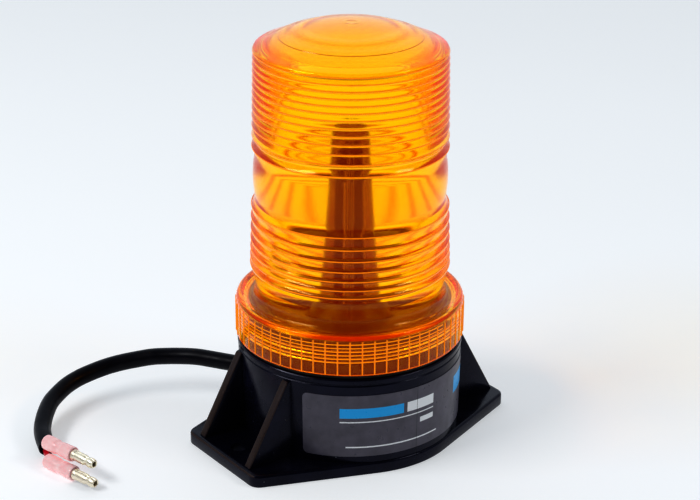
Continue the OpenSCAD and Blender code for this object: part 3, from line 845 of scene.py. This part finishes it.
def make_gusset(sx, sy):
    """A tapered plate with rounded edges, from the flange up to the body's rim."""
    outline = [(38.9, FLANGE_T - 1), (61.0, FLANGE_T - 1), (61.0, FLANGE_T + 0.2),
               (43.2, GUSSET_TOP - 0.5), (42.2, GUSSET_TOP), (38.9, GUSSET_TOP)]
    profile = [(0.5, 0), (0.15, 0.15), (0, 0.5), (0, GUSSET_T - 0.5), (0.15, GUSSET_T - 0.15),
               (0.5, GUSSET_T)]
    middle = Vector((45.5, 15))
    points, size = [], len(outline)
    for inset, depth in profile:
        for x, z in outline:
            away = Vector((x, z)) - middle
            p = Vector((x, z)) - away.normalized() * inset
            points.append((sx * p.x, sy * (GUSSET_Y + depth), p.y))
    faces = [list(range(size)), [(len(profile) - 1) * size + k for k in range(size)][::-1]]
    for i in range(len(profile) - 1):
        for k in range(size):
            n = (k + 1) % size
            faces.append((i * size + k, (i + 1) * size + k, (i + 1) * size + n, i * size + n))
    if sx * sy < 0:
        faces = [f[::-1] for f in map(list, faces)]
    return make_mesh("gusset", points, faces)


def rod_cutter(r, length, matrix):
    outline = [(0, -length / 2), (r, -length / 2), (r, length / 2), (0, length / 2)]
    cutter = lathe("cutter", outline, even_angles(64))
    cutter.data.transform(matrix)
    return cutter


def make_base():
    steps = 4
    wall = rounded([
        (0, 0), (BODY_BOTTOM_R, 0), (BODY_BOTTOM_R, FLANGE_T), (BODY_R, BODY_TOP_Z),
        (BODY_R - 0.35, 38.3), (BODY_R - 0.35, 38.8), (BODY_R + 0.2, 39.1),
        (BODY_R + 0.2, 40.7), (BODY_R - 0.3, SHOULDER_Z), (NECK_R, SHOULDER_Z),
    ], 0.35, steps)
    # The neck's foot stays a sharp corner, so its arc's points are dropped.
    wall = wall[:-steps - 1] + [(NECK_R, SHOULDER_Z + 0.02)]
    rows = 70
    low, high = SHOULDER_Z + 0.6, NECK_TOP - 0.7
    wall += [(NECK_R, low + (high - low) * s / rows) for s in range(rows + 1)]
    wall += [(NECK_R - 0.2, NECK_TOP - 0.2), (NECK_R - 0.6, NECK_TOP), (NECK_BORE + 0.3, NECK_TOP),
             (NECK_BORE, NECK_TOP - 0.3), (NECK_BORE, LEDGE_Z), (LEDGE_BORE + 0.2, LEDGE_Z),
             (LEDGE_BORE, LEDGE_Z - 0.2), (LEDGE_BORE, LEDGE_Z - 3.5), (BODY_INNER_R, 37),
             (BODY_INNER_R, FLOOR_T), (0, FLOOR_T)]

    def thread(angle, r, z):
        if abs(r - NECK_R) > 0.01 or z < low:
            return r
        return r + thread_height(z, angle, THREAD_START, NECK_TURNS, THREAD_H, 1.0)
    base = lathe("housing", wall, even_angles(240), thread)
    flange = make_flange()
    core = rod_cutter(BODY_INNER_R + 1.4, 40, Matrix.Identity(4))
    combine(flange, [core], "DIFFERENCE")
    combine(base, [flange] + [make_gusset(sx, sy) for sx in (-1, 1) for sy in (-1, 1)], "UNION")
    exit_turn = Matrix.Rotation(math.radians(EXIT_AZ), 4, "Z")
    lay = Matrix.Rotation(math.radians(90), 4, "Y")
    exit_at = exit_turn @ Matrix.Translation((43.6 * MM, 0, EXIT_Z * MM)) @ lay
    cutters = [rod_cutter(5.5, 10, exit_at)]
    for sx in (-1, 1):
        cutters.append(rod_cutter(BOLT_R, 14, Matrix.Translation((sx * BOLT_X * MM, 0, 3 * MM))))
    combine(base, cutters, "DIFFERENCE")
    stand_for(base, "base", black_moulding(), "black_housing", "base_housing")


def make_gasket():
    low, high = box_mm("lens_gasket")
    inner, outer = NECK_R + 1.3, high.x
    outline = rounded([(inner, low.z), (outer, low.z), (outer, high.z), (inner, high.z)], 0.5, 5)
    gasket = lathe("gasket_ring", outline, even_angles(180))
    stand_for(gasket, "gasket", rubber(), "black_rubber", "lens_gasket")


LABEL_ANGLES = (210, 330)


def make_label():
    """Thin film on the drafted wall, with round corners."""
    low, high = box_mm("product_label")
    z0, z1, corner, thick = low.z, high.z, 2.2, 0.2
    a0, a1 = (math.radians(a) for a in LABEL_ANGLES)
    span = (a1 - a0) * BODY_R
    stops = [0, 0.15, 0.5, 1.0, 1.6, corner]
    middle = [corner + (span - 2 * corner) * s / 90 for s in range(1, 90)]
    along = stops + middle + [span - s for s in stops[::-1]]
    rows = 10
    points = []
    for outside in (0, 1):
        for s in along:
            near = min(s, span - s, corner)
            pull = corner - math.sqrt(max(0, corner ** 2 - (corner - near) ** 2))
            for j in range(rows + 1):
                z = z0 + pull + (z1 - z0 - 2 * pull) * j / rows
                wall = BODY_BOTTOM_R + (BODY_R - BODY_BOTTOM_R) * (z - FLANGE_T) / (BODY_TOP_Z - FLANGE_T)
                r = wall + 0.02 + thick * outside
                points.append((r * math.cos(a0 + s / BODY_R), r * math.sin(a0 + s / BODY_R), z))
    columns, row = len(along), rows + 1
    side = columns * row
    faces = []
    for c in range(columns - 1):
        for j in range(rows):
            a, b = c * row + j, (c + 1) * row + j
            faces.append((side + a, side + b, side + b + 1, side + a + 1))
            faces.append((a, a + 1, b + 1, b))
        for j in (0, rows):
            a, b = c * row + j, (c + 1) * row + j
            edge = (a, b, side + b, side + a)
            faces.append(edge if j == 0 else (b, a, side + a, side + b))
    for c in (0, columns - 1):
        for j in range(rows):
            a = c * row + j
            edge = (a, side + a, side + a + 1, a + 1)
            faces.append(edge if c == 0 else edge[::-1])
    label = make_mesh("label_film", points, faces)
    stand_for(label, "base", label_film(), "label_film", "product_label")


# ---- inside the lens ---------------------------------------------------------
GLASS_R = 2.4
LEG_X = 4.5
BEND_Z = 107.0
WIRE_R = 0.35
WIRE_TOPS = {"front": 108, "back": 102}


def u_path(low_z):
    """Up one leg of the flash tube, over its bend and down the other."""
    up = [(-LEG_X, 0, low_z + (BEND_Z - low_z) * s / 20) for s in range(21)]
    bend = [(-LEG_X * math.cos(a), 0, BEND_Z + LEG_X * math.sin(a))
            for a in [math.pi * s / 24 for s in range(1, 24)]]
    down = [(LEG_X, 0, BEND_Z - (BEND_Z - low_z) * s / 20) for s in range(21)]
    return up + bend + down


def make_guard():
    low, high = box_mm("tube_guard")
    foot, top = low.z, high.z - low.z
    outer = [(12, 0), (12, 2), (11.4, 3.4), (10, 18), (8.5, 42), (8.3, top - 4), (7.2, top - 1.4),
             (4, top - 0.1), (0, top)]
    inner = [(0, top - 1.1), (3.6, top - 1.3), (6.4, top - 2.2), (7.3, top - 4.4), (7.5, 42),
             (8.9, 18), (10.7, 3.2), (10.7, 0)]
    guard = lathe("tube_cover", [(r, z + foot) for r, z in rounded(outer + inner, 0.6, 3)],
                  even_angles(96))
    stand_for(guard, "base", guard_plastic(), "smoked_guard", "tube_guard")


def make_flash_tube():
    low, _ = box_mm("flash_tube")
    tube = sweep("flash_tube_glass", u_path(low.z), GLASS_R, 40)
    bore = sweep("bore", u_path(low.z + 1), GLASS_R - 0.7, 32)
    combine(tube, [bore], "DIFFERENCE")
    stand_for(tube, "base", clear_glass(), "clear_glass", "flash_tube")


def make_socket():
    low, high = box_mm("tube_socket")
    h = high.z - low.z
    outline = [(0, 0), (17.2, 0), (17, 2.4), (14.2, 10), (13, 12.4), (10.6, 12.4), (10.6, h), (0, h)]
    socket = lathe("socket", [(r, z + low.z) for r, z in rounded(outline, 0.5)], even_angles(120))
    cuts = [rod_cutter(GLASS_R + 0.05, 10, Matrix.Translation((x * MM, 0, (high.z + 1.8) * MM)))
            for x in (-LEG_X, LEG_X)]
    combine(socket, cuts, "DIFFERENCE")
    stand_for(socket, "base", dark_moulding(), "dark_moulding", "tube_socket")


def make_trigger_wires():
    """Four straight wires, in front of and behind the legs of the flash tube, with a painted orange glow
    for their highlights.
    """
    _, socket_high = box_mm("tube_socket")
    foot_z = socket_high.z - 0.5
    # Painted glow: the wires' emission stands in for highlights on them.
    look = plastic("wire_painted_glow", (0.9, 0.75, 0.6), 0.25, 0.4, Metallic=0.5,
                   Emission_Color=(1.0, 0.5, 0.2, 1), Emission_Strength=0.35)
    for side, sx in (("left", -1), ("right", 1)):
        x = sx * (LEG_X + 0.25)
        for part, sy in (("front", -1), ("back", 1)):
            y = sy * (GLASS_R + 0.4)
            rise = WIRE_TOPS[part] - socket_high.z
            line = [(x, y, foot_z + rise * s / 12) for s in range(13)]
            wire = sweep(f"trigger_wire_{side}_{part}", line, WIRE_R, 12)
            stand_for(wire, "base", look, "screw_steel", "trigger_wire")


# ---- carried-over CAD nodes --------------------------------------------------
def dress_cad_nodes():
    steel = plain_metal("screw_steel", (0.66, 0.66, 0.68), 0.22, 0.4)
    bright = plain_metal("bright_aluminium", (0.84, 0.84, 0.85), 0.14, 0.3)
    dull = plain_metal("dull_plate", (0.12, 0.11, 0.1), 0.3, 0.45)
    brass = plain_metal("brass", (0.78, 0.56, 0.22), 0.2, 0.4)
    black = plastic("component_black", (0.02, 0.02, 0.021), 0.4, 0.6)
    looks = {
        "deck_screws": (steel, "screw_steel"),
        "board_screws": (steel, "screw_steel"),
        "heat_sink_screw": (steel, "screw_steel"),
        "tube_electrodes": (steel, "screw_steel"),
        "reflector_plate": (dull, "bright_aluminium"),
        "capacitor_cap": (bright, "bright_aluminium"),
        "heat_sink": (bright, "bright_aluminium"),
        "socket_contacts": (brass, "brass_contact"),
        "board_spacers": (brass, "brass_contact"),
        "power_transistor": (black, "component_black"),
        "rectifier_diodes": (black, "component_black"),
        "tube_deck": (dark_moulding(), "dark_moulding"),
        "circuit_board": (plastic("board_green", (0.02, 0.15, 0.05), 0.3, 0.45), "board_green"),
        "terminal_block": (plastic("terminal_blue", (0.05, 0.2, 0.45), 0.3, 0.45), "terminal_blue"),
        "storage_capacitor": (plastic("capacitor_sleeve", (0.02, 0.03, 0.12), 0.2, 0.35),
                              "capacitor_sleeve"),
        "film_capacitor": (plastic("film_red", (0.4, 0.04, 0.02), 0.25, 0.4), "film_red"),
        "converter_core": (plastic("ferrite", (0.05, 0.05, 0.052), 0.5, 0.7), "ferrite"),
        "converter_winding": (plain_metal("copper_winding", (0.7, 0.32, 0.12), 0.25, 0.4),
                              "copper_winding"),
        "trigger_transformer": (plastic("tape_yellow", (0.75, 0.55, 0.06), 0.35, 0.5),
                                "tape_yellow"),
        "resistors": (plastic("resistor_tan", (0.62, 0.45, 0.25), 0.35, 0.5), "resistor_tan"),
        "tube_leads": (plastic("lead_white", (0.8, 0.8, 0.78), 0.4, 0.55), "lead_white"),
        "supply_leads": (plastic("supply_red", (0.5, 0.012, 0.03), 0.3, 0.45), "core_red"),
        "cable_grommet": (rubber(), "black_rubber"),
    }
    for node, (material, slot) in looks.items():
        give(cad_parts[node], material)


# ---- stage and light ---------------------------------------------------------
def make_floor():
    size = 12.0
    mesh = bpy.data.meshes.new("floor")
    corners = [(-size, -size, 0), (size, -size, 0), (size, size, 0), (-size, size, 0)]
    mesh.from_pydata(corners, [], [(0, 1, 2, 3)])
    floor = bpy.data.objects.new("floor", mesh)
    bpy.context.scene.collection.objects.link(floor)
    give(floor, floor_material())


def softbox(name, azimuth, elevation, distance, width, height, power):
    """A rectangular lamp aimed at the middle of the beacon; azimuth is measured as the camera's is."""
    a, e = math.radians(azimuth), math.radians(elevation)
    back = Vector((math.sin(a) * math.cos(e), -math.cos(a) * math.cos(e), math.sin(e)))
    data = bpy.data.lights.new(name, "AREA")
    data.shape = "RECTANGLE"
    data.size, data.size_y = width, height
    data.energy = power
    lamp = bpy.data.objects.new(name, data)
    bpy.context.scene.collection.objects.link(lamp)
    lamp.location = LOOK_AT + back * distance
    lamp.rotation_mode = "QUATERNION"
    lamp.rotation_quaternion = (-back).to_track_quat("-Z", "Y")


def make_light():
    world = bpy.data.worlds.new("studio")
    bpy.context.scene.world = world
    world.use_nodes = True
    nodes, links = world.node_tree.nodes, world.node_tree.links
    background = nodes["Background"]
    background.inputs["Color"].default_value = (0.84, 0.92, 1.0, 1)
    a = math.radians(CAMERA_AZIMUTH)
    toward_back = nodes.new("ShaderNodeVectorMath")
    toward_back.operation = "DOT_PRODUCT"
    toward_back.inputs[1].default_value = (-math.sin(a), math.cos(a), 0)
    links.new(nodes.new("ShaderNodeTexCoord").outputs["Generated"], toward_back.inputs[0])
    ramp = nodes.new("ShaderNodeMapRange")
    ramp.inputs["From Min"].default_value = -0.2
    ramp.inputs["From Max"].default_value = 0.9
    ramp.inputs["To Min"].default_value = 0.08
    ramp.inputs["To Max"].default_value = 0.85
    links.new(toward_back.outputs["Value"], ramp.inputs["Value"])
    links.new(ramp.outputs["Result"], background.inputs["Strength"])
    softbox("key", CAMERA_AZIMUTH - 68, 42, 1.3, 0.75, 0.22, 6.5)
    softbox("fill", CAMERA_AZIMUTH + 72, 38, 1.4, 0.45, 0.22, 3)
    scene = bpy.context.scene
    scene.view_settings.view_transform = "Standard"
    scene.view_settings.look = "High Contrast"
    scene.view_settings.exposure = -0.2
    scene.cycles.max_bounces = 24
    scene.cycles.transmission_bounces = 24
    scene.cycles.transparent_max_bounces = 24
    scene.cycles.caustics_refractive = False
    scene.cycles.caustics_reflective = False


make_camera()
make_lead()
make_lens()
make_base()
make_gasket()
make_label()
make_guard()
make_flash_tube()
make_socket()
make_trigger_wires()
dress_cad_nodes()
make_floor()
make_light()
